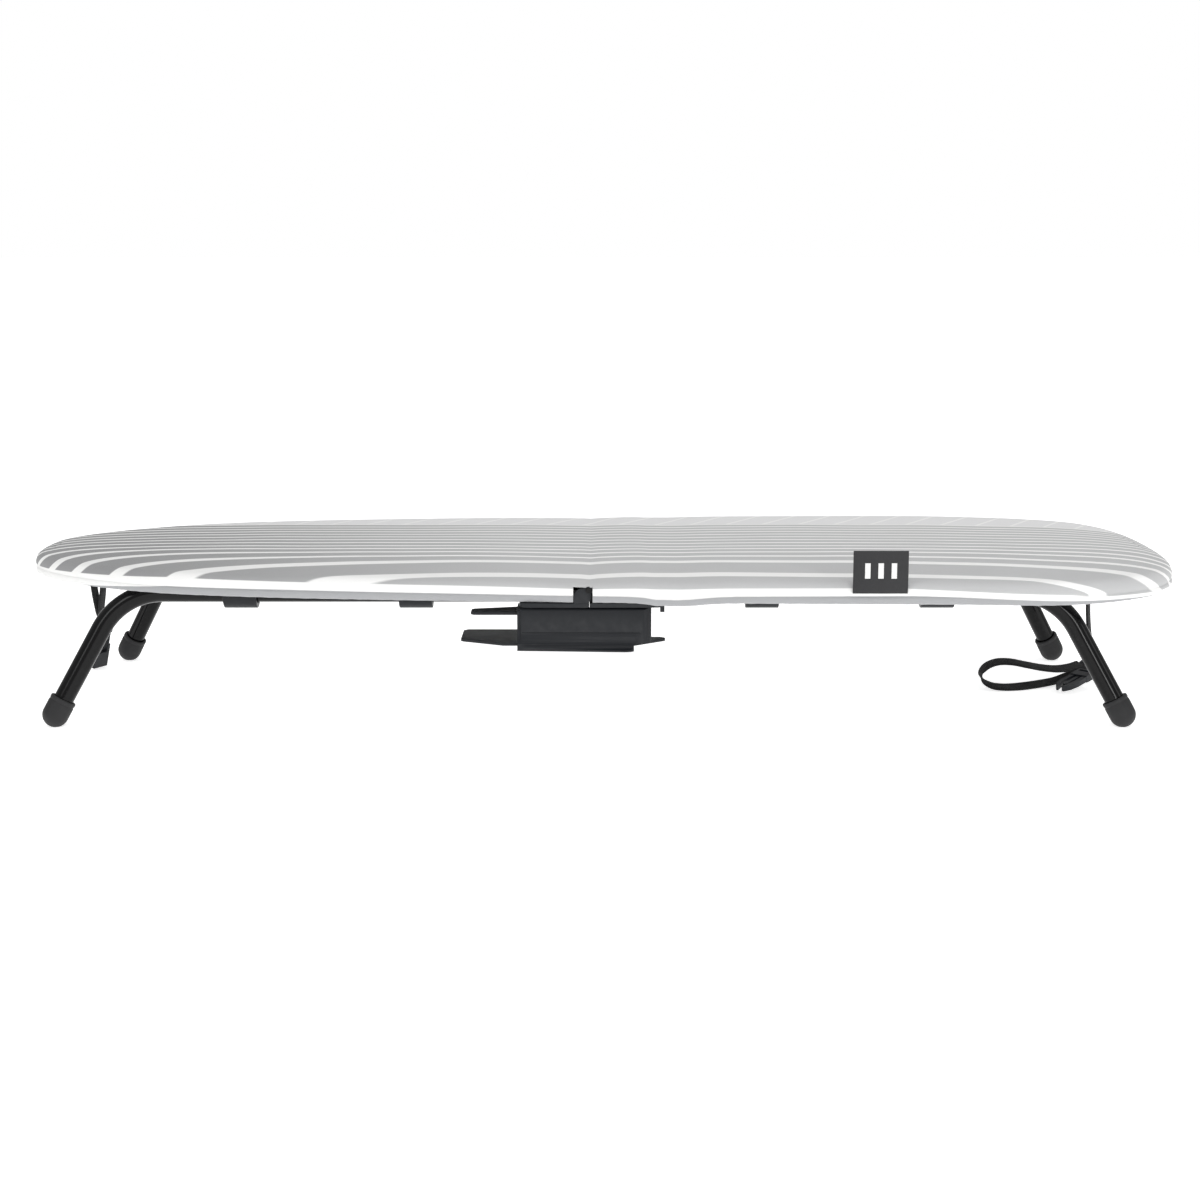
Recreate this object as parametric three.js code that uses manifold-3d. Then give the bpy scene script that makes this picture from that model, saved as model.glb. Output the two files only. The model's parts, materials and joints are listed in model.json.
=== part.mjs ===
// A table-top ironing board that folds in half, on four folding wire-style tube legs.
// Millimetres, +Z up. X runs along the board with the fold at X = 0, and the operator's edge is at -Y.
import * as THREE from 'three';
import { mergeVertices } from 'three/addons/utils/BufferGeometryUtils.js';
import Module from 'manifold-3d';

const wasm = await Module();
wasm.setup();

// ---------------------------------------------------------------- driving dimensions

const GAP = 0.4; // between two pieces that touch on the real board
const FOLD_GAP = 0.8; // from the fold plane to each half

// The cover's edge: distance along X and half width there, from the left tip to the right end.
const EDGE_POINTS = [
  [-394.6, 0], [-391, 33], [-380, 54.5], [-360, 77], [-327, 101], [-286, 121], [-226, 135.5],
  [-150, 145.7], [-75, 152.2], [0, 157.3], [75, 160], [150, 162.5], [230, 164], [285, 162],
  [337, 150], [375, 127], [392, 100], [402, 62], [405.4, 0],
];
const EDGE_DIVISIONS = 2;

const TOP_Z = 107.4; // ironing surface
const HEM_Z = 93; // lowest edge of the cover
const COVER_T = 1; // cotton cover
const COVER_ROUND = 5; // rounding of the covered edge
const HEM_LIP = 8; // width of the hem that turns in under the rim

const PAD_LOW_Z = 100; // the pad lies on the steel panel
const PAD_INSET = COVER_T + GAP;
const PAD_FOLD_X = 10; // the pad stops this far from the fold

const PANEL_TOP_Z = 99.6;
const PANEL_T = 1;
const PANEL_LOW_Z = PANEL_TOP_Z - PANEL_T;
const RIM_LOW_Z = 94.6;
const RIM_T = 1.6;
const HOLE = { pitchX: 52, pitchY: 30, lengthX: 36, widthY: 16, margin: 34 };

const HINGE = {
  z: 101.1, pinR: 1.1, holeR: 1.45, earR: 2.5, earT: 3, earOuterY: -155.9, armX: 9.6, domeR: 5.6,
  domeZ: 96.9, stemX: 4.6,
};
const RELIEF = { slope: 0.127, reach: 66 }; // the groove in pad and cover over the fold
const NOTCH = { halfX: 10.5, y: -148.5 }; // opening in the skirt around the hinge ears

const BAR = { lowZ: 96.5, t: 1.8, width: 34, endGap: 9 };
const CLIP_X = [117, 235.5];
const BAR_SHIFT = 4; // the inner bar also carries the leg stop
const CLIP = { width: 22.5, holeR: 1.9, flangeY: 24, screwY: 17.5, flangeT: 2.8 };

const LEG = {
  y: 94, z: 89.3, r: 6.7, boreR: 5.6, runStart: 50, bendR: 47, lineX: 317.3, sides: 7, bendSteps: 8,
};
const FOOT = { x: 361, y: 110.3, z: 8.2, r: 8.85, wallR: 7, rimLength: 12 };
const CLIP_BORE_R = LEG.r + 0.5;
const CLIP_OUTER_R = 10.7;
const STOP = { x: 131, r: 1.8, reach: 11.4, angle: 29 };

const STRIP = { lowZ: 89.8, topZ: 92.6, frontY: -156, left: 45, right: 49.4 };
const KNUCKLE_SPLIT = { left: 0.4, right: 0.7 }; // the left bracket reaches past the fold plane
const RAIL = {
  start: 0.5, webY: -126, webT: 2.2, tongueT: 2, topZ: 85.4, lowZ: 62.9, frontY: -147.8, footTopZ: 96,
};
const LEFT_RAIL = {
  webEnd: 44, end: 77, tipBackY: -134, lowEnd: 84.6, lowTipY: -132, slantFrom: 56, lowBackY: -100,
};
const KEEPER = {
  webEnd: 30, end: 34, tipBackY: -128, lowEnd: 50.5, lowTipY: -131, slantFrom: 30, lowBackY: -126.5,
};
const SLIDER = {
  left: -46.5, right: 41.5, frontY: -152, wallT: 3.4, lowZ: 60.6, topZ: 88.8, flangeT: 2, backY: -90,
  hookY: -134, toeY: -157.5, toeRight: 28.5, openZ: 65.2,
  cornerR: 6,
};

const TAG = { x0: 169.8, x1: 205.2, y: -165.4, t: 1, z0: 101, z1: 128.4 };
const WEBBING = { width: 10, t: 1.4 };

// ---------------------------------------------------------------- materials

const material = (color, roughness, metalness = 0) =>
  new THREE.MeshStandardMaterial({ color, roughness, metalness });
const STRIPED_COTTON = material(0xb4b6b8, 0.9);
const FELT = material(0xd8d4c8, 0.95);
const PAINTED_STEEL = material(0x8f9296, 0.5, 0.4);
const BLACK_ENAMEL = material(0x101012, 0.15, 0.1);
const ZINC = material(0xa8abb0, 0.35, 0.9);
const BLACK_RUBBER = material(0x3e3e40, 0.85);
const SLATE_PLASTIC = material(0x2a2e34, 0.5);
const BLACK_WEBBING = material(0x141416, 0.9);

// ---------------------------------------------------------------- helpers

const toSolid = (geometry) => {
  const bare = geometry.index ? geometry.toNonIndexed() : geometry.clone();
  bare.deleteAttribute('normal');
  bare.deleteAttribute('uv');
  const merged = mergeVertices(bare, 1e-4);
  return new wasm.Manifold(new wasm.Mesh({
    numProp: 3,
    vertProperties: new Float32Array(merged.attributes.position.array),
    triVerts: new Uint32Array(merged.index.array),
  }));
};

const toGeometry = (solid) => {
  const mesh = solid.getMesh();
  const geometry = new THREE.BufferGeometry();
  geometry.setAttribute('position', new THREE.BufferAttribute(mesh.vertProperties, 3));
  geometry.setIndex(new THREE.BufferAttribute(mesh.triVerts, 1));
  geometry.computeVertexNormals();
  return geometry;
};

const board = new THREE.Group();

const addPiece = (name, solid, pieceMaterial) => {
  const mesh = new THREE.Mesh(toGeometry(solid), pieceMaterial);
  mesh.name = name;
  board.add(mesh);
};

const box = (x0, x1, y0, y1, z0, z1) => {
  const geometry = new THREE.BoxGeometry(Math.abs(x1 - x0), Math.abs(y1 - y0), z1 - z0);
  return toSolid(geometry.translate((x0 + x1) / 2, (y0 + y1) / 2, (z0 + z1) / 2));
};

const cylinderZ = (x, y, z0, z1, r, sides = 16) => {
  const geometry = new THREE.CylinderGeometry(r, r, z1 - z0, sides).rotateX(Math.PI / 2);
  return toSolid(geometry.translate(x, y, (z0 + z1) / 2));
};

const cylinderY = (x, z, y0, y1, r, sides = 16) => {
  const geometry = new THREE.CylinderGeometry(r, r, y1 - y0, sides);
  return toSolid(geometry.translate(x, (y0 + y1) / 2, z));
};

const X_AXIS = new THREE.Vector3(1, 0, 0);
const Y_AXIS = new THREE.Vector3(0, 1, 0);
const Z_AXIS = new THREE.Vector3(0, 0, 1);

// A shape drawn in (y, z), pulled along X.
const prismX = (shape, x0, x1, curveSegments = 8) => {
  const geometry = new THREE.ExtrudeGeometry(
    shape, { depth: x1 - x0, steps: 1, bevelEnabled: false, curveSegments });
  geometry.applyMatrix4(new THREE.Matrix4().makeBasis(Y_AXIS, Z_AXIS, X_AXIS));
  return toSolid(geometry.translate(x0, 0, 0));
};

// A shape drawn in (x, z), pulled along Y.
const prismY = (shape, y0, y1, curveSegments = 8) => {
  const geometry = new THREE.ExtrudeGeometry(
    shape, { depth: y1 - y0, steps: 1, bevelEnabled: false, curveSegments });
  const backward = Y_AXIS.clone().negate();
  geometry.applyMatrix4(new THREE.Matrix4().makeBasis(X_AXIS, Z_AXIS, backward));
  return toSolid(geometry.translate(0, y1, 0));
};

// A shape drawn in (x, y), pulled up Z.
const prismZ = (shape, z0, z1, curveSegments = 8) => {
  const geometry = new THREE.ExtrudeGeometry(
    shape, { depth: z1 - z0, steps: 1, bevelEnabled: false, curveSegments });
  return toSolid(geometry.translate(0, 0, z0));
};

const polygon = (points) => new THREE.Shape(points.map(([a, b]) => new THREE.Vector2(a, b)));

const mirrorY = (solid, edge) => (edge < 0 ? solid : solid.scale([1, -1, 1]));
const mirrorX = (solid) => solid.scale([-1, 1, 1]);


// ---------------------------------------------------------------- outline

const nearEdge = EDGE_POINTS.map(([x, w]) => new THREE.Vector3(x, -w, 0));
const farEdge = EDGE_POINTS.slice(1, -1).reverse().map(([x, w]) => new THREE.Vector3(x, w, 0));
const edgeCurve = new THREE.CatmullRomCurve3([...nearEdge, ...farEdge], true, 'centripetal');
const edgeSamples = edgeCurve.getPoints((nearEdge.length + farEdge.length) * EDGE_DIVISIONS);
edgeSamples.pop();

const insetPoints = (inset) => edgeSamples.map((point, i) => {
  const before = edgeSamples.at(i - 1);
  const after = edgeSamples[(i + 1) % edgeSamples.length];
  const along = new THREE.Vector2(after.x - before.x, after.y - before.y).normalize();
  return new THREE.Vector2(point.x - along.y * inset, point.y + along.x * inset);
});

const halfWidthAt = (x) => {
  const k = EDGE_POINTS.findIndex(([px]) => px > x);
  const [x0, w0] = EDGE_POINTS[k - 1];
  const [x1, w1] = EDGE_POINTS[k];
  return w0 + ((w1 - w0) * (x - x0)) / (x1 - x0);
};

// The outline pulled up from z0 to z1.
const slab = (inset, z0, z1) => prismZ(new THREE.Shape(insetPoints(inset)), z0, z1);

// The same with its upper edge rounded.
const domedSlab = (inset, z0, z1, round) => {
  const depth = z1 - z0 - round;
  const geometry = new THREE.ExtrudeGeometry(new THREE.Shape(insetPoints(inset)), {
    depth, steps: 1, bevelThickness: round, bevelSize: round, bevelOffset: -round, bevelSegments: 4,
  });
  const body = toSolid(geometry.translate(0, 0, z0));
  return body.trimByPlane([0, 0, 1], z0);
};

const keepHalf = (solid, side, from) => solid.trimByPlane([side, 0, 0], from);

// The groove that the folding leaves in the soft parts, apex on the hinge axis.
const foldWedge = (drop) => {
  const apexZ = HINGE.z - drop;
  const rise = RELIEF.reach * RELIEF.slope;
  const shape = polygon([[0, apexZ], [RELIEF.reach, apexZ + rise], [-RELIEF.reach, apexZ + rise]]);
  return prismY(shape, -200, 200);
};

const earNotch = (edge) =>
  mirrorY(box(-NOTCH.halfX, NOTCH.halfX, -200, NOTCH.y, HEM_Z - 5, TOP_Z + 5), edge);

// ---------------------------------------------------------------- soft parts

const cover = (side) => {
  const outer = domedSlab(0, HEM_Z, TOP_Z, COVER_ROUND).subtract(foldWedge(0));
  const lipTop = HEM_Z + COVER_T + 0.2;
  const inner = domedSlab(COVER_T, lipTop, TOP_Z - COVER_T, COVER_ROUND - COVER_T)
    .subtract(foldWedge(COVER_T));
  const mouth = slab(HEM_LIP, HEM_Z - 1, lipTop + 1);
  const shell = outer.subtract(inner).subtract(mouth)
    .subtract(earNotch(-1)).subtract(earNotch(1));
  return keepHalf(shell, side, FOLD_GAP / 2);
};

const pad = (side) => {
  const body = domedSlab(PAD_INSET, PAD_LOW_Z, TOP_Z - PAD_INSET, COVER_ROUND - PAD_INSET)
    .subtract(foldWedge(PAD_INSET));
  return keepHalf(body, side, PAD_FOLD_X);
};

// ---------------------------------------------------------------- steel panel and bars

// One long diamond of the expanded steel sheet.
const diamondHole = (x, y) => {
  const { lengthX, widthY } = HOLE;
  const shape = polygon([
    [x - lengthX / 2, y], [x, y - widthY / 2], [x + lengthX / 2, y], [x, y + widthY / 2],
  ]);
  return prismZ(shape, PANEL_LOW_Z - 1, PANEL_TOP_Z + 1);
};

const panel = (side) => {
  const rimInset = COVER_T + GAP;
  const sheet = slab(rimInset, PANEL_LOW_Z, PANEL_TOP_Z);
  const rim = slab(rimInset, RIM_LOW_Z, PANEL_TOP_Z)
    .subtract(slab(rimInset + RIM_T, RIM_LOW_Z - 1, PANEL_LOW_Z));
  const holes = [];
  const rows = Math.floor(150 / (HOLE.pitchY / 2));
  for (let row = -rows; row <= rows; row += 1) {
    const y = (row * HOLE.pitchY) / 2;
    const shift = row % 2 === 0 ? 0 : HOLE.pitchX / 2;
    for (let x = HOLE.margin + shift; x < 380; x += HOLE.pitchX) {
      const reach = halfWidthAt(side * (x + HOLE.lengthX / 2)) - HOLE.margin / 2;
      if (Math.abs(y) + HOLE.widthY / 2 < reach) holes.push(diamondHole(side * x, y));
    }
  }
  const whole = sheet.add(rim).subtract(wasm.Manifold.union(holes))
    .subtract(earNotch(-1)).subtract(earNotch(1));
  return keepHalf(whole, side, FOLD_GAP);
};

const crossbar = (side, clipX, shift) => {
  const middle = side * (clipX + shift);
  const reach = halfWidthAt(middle + side * (BAR.width / 2)) - BAR.endGap;
  const x0 = middle - BAR.width / 2;
  const strip = box(x0, x0 + BAR.width, -reach, reach, BAR.lowZ, BAR.lowZ + BAR.t);
  const screwHole = (edge) => cylinderZ(
    side * clipX, edge * (LEG.y - CLIP.screwY), BAR.lowZ - 1, BAR.lowZ + BAR.t + 1, CLIP.holeR, 12);
  return strip.subtract(screwHole(-1)).subtract(screwHole(1));
};

// ---------------------------------------------------------------- hinges

// Bracket for one half and one edge, drawn for the near edge.
const hingeBracket = (side, edge) => {
  const inner = side < 0 ? -KNUCKLE_SPLIT.left : KNUCKLE_SPLIT.right;
  const outer = side < 0 ? STRIP.left : STRIP.right;
  const roundR = 6;
  const barTop = BAR.lowZ + BAR.t;
  const profile = polygon([
    [STRIP.frontY, STRIP.lowZ], [-142, STRIP.lowZ], [-142, BAR.lowZ], [-118, BAR.lowZ],
    [-118, barTop], [-145, barTop], [-145, STRIP.topZ], [STRIP.frontY, STRIP.topZ],
  ]);
  const roundX = outer - roundR;
  const roundY = STRIP.frontY + roundR;
  const corner = box(roundX, outer + 1, STRIP.frontY - 1, roundY, STRIP.lowZ - 1, STRIP.topZ + 1)
    .subtract(cylinderZ(roundX, roundY, STRIP.lowZ - 2, STRIP.topZ + 2, roundR, 20));
  const lip = side < 0 ? [] : [box(outer - 2.8, outer, roundY, roundY + 5, STRIP.lowZ - 4, STRIP.topZ)];
  const earY = side < 0 ? HINGE.earOuterY : HINGE.earOuterY + HINGE.earT + 0.3;
  const domeX = HINGE.armX - HINGE.domeR;
  const domedArm = [
    cylinderY(domeX, HINGE.domeZ, earY, earY + HINGE.earT, HINGE.domeR, 28),
    box(inner, HINGE.armX, earY, earY + HINGE.earT, STRIP.lowZ + 1, HINGE.domeZ),
    box(0, domeX, earY, earY + HINGE.earT, HINGE.domeZ - 0.1, HINGE.domeZ + HINGE.domeR),
  ];
  const taperedStem = polygon([
    [inner, STRIP.lowZ + 1], [HINGE.stemX, STRIP.lowZ + 1], [HINGE.earR, HINGE.z], [inner, HINGE.z],
  ]);
  const ear = [
    cylinderY(0, HINGE.z, earY, earY + HINGE.earT, HINGE.earR, 20),
    ...(side < 0 ? domedArm : [prismY(taperedStem, earY, earY + HINGE.earT)]),
  ];
  const hole = cylinderY(0, HINGE.z, -170, -140, HINGE.holeR, 16);
  const base = prismX(profile, inner, outer).subtract(corner);
  const right = wasm.Manifold.union([base, ...lip, ...ear]).subtract(hole);
  return mirrorY(side < 0 ? mirrorX(right) : right, edge);
};

const hingePin = (edge) => {
  const shank = cylinderY(0, HINGE.z, -156.6, -149.2, HINGE.pinR, 16);
  const head = cylinderY(0, HINGE.z, -156.8, -156.2, 1.9, 16);
  return mirrorY(shank.add(head), edge);
};

// ---------------------------------------------------------------- legs

// Runs under the board, bends, and goes down to the foot, with most steps in the bend.
class LegPath extends THREE.Curve {
  constructor(start, bendStart, corner, bendEnd, end) {
    super();
    this.straightIn = new THREE.LineCurve3(start, bendStart);
    this.straightOut = new THREE.LineCurve3(bendEnd, end);
    this.inward = bendStart.clone().sub(corner).normalize();
    this.outward = bendEnd.clone().sub(corner).normalize();
    const halfAngle = this.inward.angleTo(this.outward) / 2;
    const bisector = this.inward.clone().add(this.outward).normalize();
    this.centre = corner.clone().addScaledVector(bisector, LEG.bendR / Math.sin(halfAngle));
    this.from = bendStart.clone().sub(this.centre);
    this.sweep = Math.PI - 2 * halfAngle;
    this.axis = this.from.clone().cross(bendEnd.clone().sub(this.centre)).normalize();
    this.total = LEG.bendSteps + 2;
  }

  getPoint(t, target = new THREE.Vector3()) {
    const step = t * this.total;
    if (step <= 1) return target.copy(this.straightIn.getPoint(step));
    if (step >= this.total - 1) return target.copy(this.straightOut.getPoint(step - this.total + 1));
    const turn = ((step - 1) / LEG.bendSteps) * this.sweep;
    return target.copy(this.from).applyAxisAngle(this.axis, turn).add(this.centre);
  }

  getPointAt(u, target) {
    return this.getPoint(u, target);
  }

  getTangentAt(u, target) {
    return this.getTangent(u, target);
  }
}

const legDirection = (side, edge) => {
  const foot = new THREE.Vector3(side * FOOT.x, edge * FOOT.y, FOOT.z);
  const corner = new THREE.Vector3(side * LEG.lineX, edge * LEG.y, LEG.z);
  return { foot, corner, down: foot.clone().sub(corner).normalize() };
};

const legTube = (side, edge) => {
  const { foot, corner, down } = legDirection(side, edge);
  const inward = new THREE.Vector3(-side, 0, 0);
  const tangentLength = LEG.bendR / Math.tan(inward.angleTo(down) / 2);
  const bendStart = corner.clone().addScaledVector(inward, tangentLength);
  const bendEnd = corner.clone().addScaledVector(down, tangentLength);
  const start = new THREE.Vector3(side * LEG.runStart, edge * LEG.y, LEG.z);
  const end = foot.clone().addScaledVector(down, -1);
  const path = new LegPath(start, bendStart, corner, bendEnd, end);
  const ring = new THREE.Shape().absarc(0, 0, LEG.r, 0, Math.PI * 2, false);
  ring.holes.push(new THREE.Path().absarc(0, 0, LEG.boreR, 0, Math.PI * 2, true));
  const geometry = new THREE.ExtrudeGeometry(ring, {
    steps: path.total, curveSegments: LEG.sides, extrudePath: path, bevelEnabled: false,
  });
  return toSolid(geometry);
};

// A lathe profile, given from its lower end on the axis, turned about Z and then laid along a direction.
const turned = (profile, sides, origin, direction) => {
  const points = profile.map(([r, h]) => new THREE.Vector2(r, h));
  const geometry = new THREE.LatheGeometry(points, sides);
  const turn = new THREE.Quaternion().setFromUnitVectors(Y_AXIS, direction);
  geometry.applyQuaternion(turn);
  return toSolid(geometry.translate(origin.x, origin.y, origin.z));
};

const footCap = (side, edge) => {
  const { foot, down } = legDirection(side, edge);
  const profile = [];
  const arcSteps = 6;
  for (let i = 0; i <= arcSteps; i += 1) {
    const angle = (i / arcSteps) * (Math.PI / 2);
    profile.push([i === 0 ? 0 : FOOT.r * Math.sin(angle), -FOOT.r * Math.cos(angle)]);
  }
  profile.push([FOOT.r, FOOT.rimLength - 1], [FOOT.r - 0.7, FOOT.rimLength]);
  profile.push([FOOT.wallR + 0.3, FOOT.rimLength], [FOOT.wallR, FOOT.rimLength - 0.5]);
  profile.push([FOOT.wallR, 0.3], [0, 0.3]);
  const cap = turned(profile, 20, foot, down.clone().negate());
  return cap.trimByPlane([0, 0, 1], 0);
};

const tubePlug = (side, edge) => {
  const profile = [[0, 0], [5, 0], [6.5, 1], [6.5, 2.2], [5.2, 2.5], [5.2, 9], [0, 9]];
  const origin = new THREE.Vector3(side * (LEG.runStart - 2.6), edge * LEG.y, LEG.z);
  return turned(profile, 16, origin, new THREE.Vector3(side, 0, 0));
};

// A rivet through the run that meets the crossbar when the leg stands open.
const stopRivet = (side, edge) => {
  const angle = THREE.MathUtils.degToRad(STOP.angle);
  const direction = new THREE.Vector3(0, edge * Math.cos(angle), Math.sin(angle));
  const origin = new THREE.Vector3(side * STOP.x, edge * LEG.y, LEG.z)
    .addScaledVector(direction, LEG.r + 0.3);
  const length = STOP.reach - LEG.r - 0.3;
  const profile = [[0, 0], [STOP.r, 0], [STOP.r, length - 0.5], [STOP.r - 0.5, length], [0, length]];
  return turned(profile, 12, origin, direction);
};

// ---------------------------------------------------------------- clips

const saddleClip = (side, clipX, edge) => {
  const top = BAR.lowZ - 0.3;
  const shape = new THREE.Shape();
  shape.moveTo(-LEG.y - CLIP_OUTER_R, top);
  shape.lineTo(-LEG.y - CLIP_OUTER_R, LEG.z);
  shape.absarc(-LEG.y, LEG.z, CLIP_OUTER_R, Math.PI, Math.PI * 2, false);
  shape.lineTo(-LEG.y + CLIP_OUTER_R, top - CLIP.flangeT);
  shape.lineTo(-LEG.y + CLIP.flangeY, top - CLIP.flangeT);
  shape.lineTo(-LEG.y + CLIP.flangeY, top);
  shape.lineTo(-LEG.y + CLIP_BORE_R, top);
  shape.lineTo(-LEG.y + CLIP_BORE_R, LEG.z);
  shape.absarc(-LEG.y, LEG.z, CLIP_BORE_R, 0, Math.PI, true);
  shape.lineTo(-LEG.y - CLIP_BORE_R, top);
  const middle = side * clipX;
  const body = prismX(shape, middle - CLIP.width / 2, middle + CLIP.width / 2, 6);
  const hole = cylinderZ(middle, -LEG.y + CLIP.screwY, 85, 100, CLIP.holeR, 12);
  return mirrorY(body.subtract(hole), edge);
};

const clipScrew = (side, clipX, edge) => {
  const headTop = BAR.lowZ - 0.3 - CLIP.flangeT - 0.3;
  const shankTop = BAR.lowZ + BAR.t;
  const profile = [
    [0, 0], [2.2, 0.1], [3.4, 1.1], [3.4, 2.3], [1.5, 2.3], [1.5, shankTop - headTop + 2.3],
    [0, shankTop - headTop + 2.3],
  ];
  const origin = new THREE.Vector3(side * clipX, edge * (LEG.y - CLIP.screwY), headTop - 2.3);
  return turned(profile, 12, origin, Z_AXIS);
};

// ---------------------------------------------------------------- lock under the fold

// A foot under the bracket, a web, and two longer tongues that narrow towards their tips.
const railSolid = ({ webEnd, end, tipBackY, lowEnd, lowTipY, slantFrom, lowBackY }) => {
  const { start, webY, webT, tongueT, topZ, lowZ, frontY, footTopZ } = RAIL;
  const foot = box(start, webEnd, -140, -112, footTopZ - 1.8, footTopZ);
  const web = box(start, webEnd, webY - webT, webY, lowZ, footTopZ);
  const upper = polygon([
    [start, frontY], [end - 2, frontY], [end, frontY + 2], [end, tipBackY - 2], [end - 2, tipBackY],
    [webEnd, webY], [start, webY],
  ]);
  const lower = polygon([
    [start, frontY], [slantFrom, frontY], [lowEnd - 2, lowTipY - 2], [lowEnd, lowTipY],
    [lowEnd, lowBackY - 3], [lowEnd - 3, lowBackY], [start, lowBackY],
  ]);
  return wasm.Manifold.union([
    foot, web, prismZ(upper, topZ - tongueT, topZ), prismZ(lower, lowZ, lowZ + tongueT),
  ]);
};

// The sliding block: an L of wall and floor whose foot flares forward, and a hook over the left rail.
const slider = () => {
  const { left, right, frontY, wallT, lowZ, topZ, flangeT, backY } = SLIDER;
  const { hookY, toeY, toeRight, openZ, cornerR } = SLIDER;
  const backOfWall = frontY + wallT;
  const edgeR = 2;
  const profile = new THREE.Shape();
  profile.moveTo(backY, lowZ);
  profile.lineTo(backY, lowZ + flangeT);
  profile.lineTo(backOfWall, lowZ + flangeT);
  profile.lineTo(backOfWall, topZ);
  profile.lineTo(frontY + edgeR, topZ);
  profile.quadraticCurveTo(frontY, topZ, frontY, topZ - edgeR);
  profile.lineTo(frontY, lowZ + 10);
  profile.quadraticCurveTo(frontY, lowZ + 1.5, toeY, lowZ + 1);
  profile.lineTo(toeY, lowZ);
  const plan = new THREE.Shape();
  plan.moveTo(left, backY + 1);
  plan.lineTo(left, frontY - 1);
  plan.lineTo(toeRight - 5, toeY);
  plan.quadraticCurveTo(toeRight, toeY, toeRight + 2.5, frontY);
  plan.lineTo(right - cornerR, frontY);
  plan.absarc(right - cornerR, frontY + cornerR, cornerR, -Math.PI / 2, 0, false);
  plan.lineTo(right, backY + 1);
  const hook = box(left, -1.5, frontY + 1, hookY, topZ - flangeT, topZ);
  const body = wasm.Manifold.union([prismX(profile, left, right), hook]);
  const bead = box(left, left + 2, frontY - 0.7, frontY + 1, lowZ + 4, topZ - edgeR);
  const ledge = box(left + 3, right - 8, frontY - 1, frontY + 0.4, lowZ + 11.6, lowZ + 12.2);
  const openEnd = box(toeRight + 1, right + 1, toeY, backY + 1, lowZ - 1, openZ);
  return body.intersect(prismZ(plan, lowZ - 1, topZ + 1)).add(bead).subtract(ledge).subtract(openEnd);
};

// ---------------------------------------------------------------- straps and buckles

// A flat band through a list of points, its width along `across` at every point.
const band = (points, across, divisions, width = WEBBING.width, t = WEBBING.t) => {
  const curve = new THREE.CatmullRomCurve3(points.map((p) => new THREE.Vector3(...p)));
  const steps = (points.length - 1) * divisions;
  const positions = [];
  const side = new THREE.Vector3(...across).normalize();
  for (let i = 0; i <= steps; i += 1) {
    const centre = curve.getPoint(i / steps);
    const tangent = curve.getTangent(i / steps);
    const flat = side.clone().addScaledVector(tangent, -side.dot(tangent)).normalize();
    const normal = tangent.clone().cross(flat).normalize();
    for (const [a, b] of [[-1, -1], [1, -1], [1, 1], [-1, 1]]) {
      const corner = centre.clone().addScaledVector(flat, (a * width) / 2)
        .addScaledVector(normal, (b * t) / 2);
      positions.push(corner.x, corner.y, corner.z);
    }
  }
  const index = [0, 2, 1, 0, 3, 2];
  for (let i = 0; i < steps; i += 1) {
    for (let k = 0; k < 4; k += 1) {
      const a = i * 4 + k;
      const b = i * 4 + ((k + 1) % 4);
      index.push(a, b, b + 4, a, b + 4, a + 4);
    }
  }
  const last = steps * 4;
  index.push(last, last + 1, last + 2, last, last + 2, last + 3);
  const geometry = new THREE.BufferGeometry();
  geometry.setAttribute('position', new THREE.Float32BufferAttribute(positions, 3));
  geometry.setIndex(index);
  return toSolid(geometry);
};

const LEFT_STRAP = [
  [-367, 51, 97], [-371.5, 52, 88], [-372.9, 52.6, 76], [-372.6, 55.5, 64], [-372.3, 60, 54],
  [-372.1, 64, 47], [-371.4, 67.5, 41.5], [-371, 70, 37.5], [-371, 71.6, 34.1],
];
const LEFT_STRAP_RETURN = [
  [-361, 50.2, 97], [-362.6, 51, 88], [-364.4, 52, 76], [-366.4, 55, 64], [-369, 60.2, 53.5],
  [-371.3, 64.8, 46],
];
const RIGHT_STRAP = [
  [374, 56, 98], [374.4, 56.4, 80], [375, 57, 62], [375.8, 57, 44], [376.6, 54, 30], [377, 48, 21.5],
  [376.6, 40.5, 16.5], [375.6, 33.5, 14.2],
];
const FLOOR_LOOP = [
  [367.6, 24.5, 11.2], [361, 21.5, 9.4], [352, 18.5, 6.4], [343, 15.5, 3.8], [333, 12, 2.6], [322, 7, 2.1],
  [311, 2, 2.1], [301, 0, 2.4], [293.5, 1, 3.4], [288, 3, 6.6], [286.5, 5, 11.2], [290, 7, 16],
  [298, 8.5, 19.2], [308, 9, 19.4], [320, 10, 17], [332, 12, 14.4], [344, 15, 12.8], [355, 20, 13],
  [364, 25.5, 14.4],
];

// The socket half of a side-release buckle, upright, drawn along its own axes.
const socketBuckle = () => {
  const body = box(-7.5, 7.5, -2.8, 2.8, -15.5, 15.5);
  const window = box(-4.2, 4.2, -4, 4, -3, 7);
  const mouth = box(-5.6, 5.6, -1.4, 1.4, -17, -4);
  const shoulders = [-1, 1].map((k) => box(k * 6, k * 9, -4, 4, 3, 12));
  return body.subtract(window).subtract(mouth).subtract(shoulders[0]).subtract(shoulders[1]);
};

// The slide that holds the hanging strap, its loop and the plug together.
const slideAdjuster = () => {
  const body = box(-7, 7, -3, 3, -3.4, 3.4);
  return body.subtract(box(-5.6, 5.6, -1.6, 1.6, -4, 4));
};

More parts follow.
